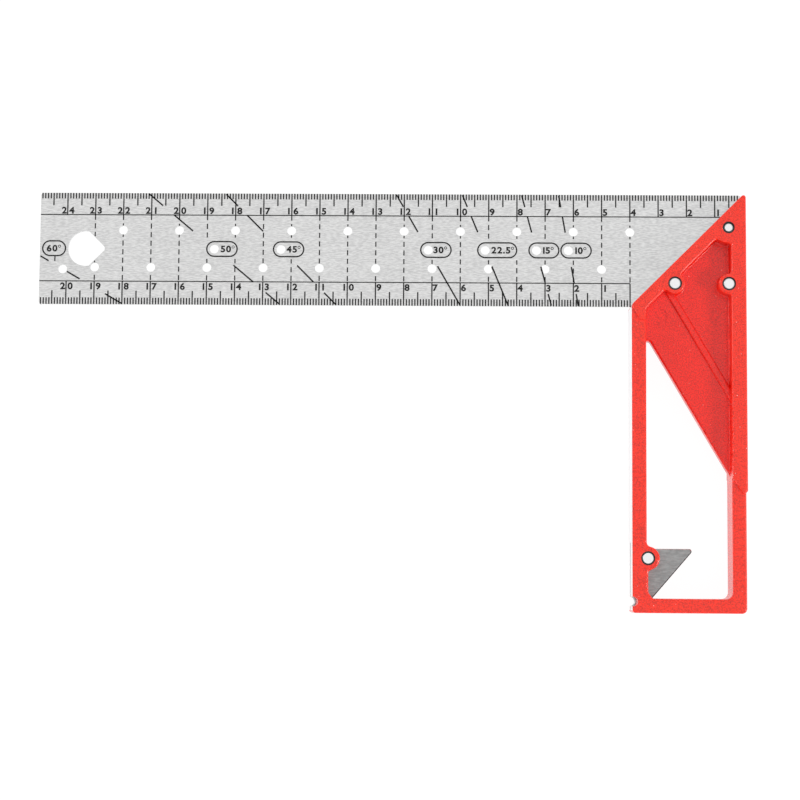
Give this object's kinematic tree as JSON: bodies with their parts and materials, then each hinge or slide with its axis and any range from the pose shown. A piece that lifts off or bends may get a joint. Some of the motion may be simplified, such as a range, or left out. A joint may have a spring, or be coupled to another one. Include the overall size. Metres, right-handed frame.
{
  "type": "try and mitre square",
  "caption": "Fixed try and mitre square: a ruled, drilled marking blade riveted in an open-handled stock, with a small support ledge that swings out of the stock.",
  "frame": {"origin": "centre of the bounding box's footprint, in the plane that the stock's back rim rests on", "axes": "+X from the blade's free end towards the stock, +Y from the stock's free end towards the blade, +Z square to the blade's face"},
  "size_m": [0.2496, 0.1474, 0.016],
  "materials": {
    "handle_coat": "fine-grained red powder coat on die-cast metal, with bare machined gauging faces",
    "blade_steel": "stainless, brushed lengthwise, etched black marks",
    "rivet_metal": "bright, ground flush",
    "ledge_steel": "dull grey, fine grain",
    "washer_steel": "spring steel"
  },
  "bodies": {
    "square": {"handle": "handle_coat", "blade": "blade_steel", "blade_rivet_top": "rivet_metal", "blade_rivet_left": "rivet_metal", "blade_rivet_right": "rivet_metal", "ledge_rivet": "rivet_metal", "ledge_spring_washer": "washer_steel"},
    "ledge": {"ledge": "ledge_steel"}
  },
  "joints": [
    {"name": "ledge_pivot", "type": "hinge", "parent": "square", "child": "ledge", "pos_m": [0.09025, -0.0548, 0.008], "axis": [0, 0, -1], "range_deg": [0, 90]}
  ]
}
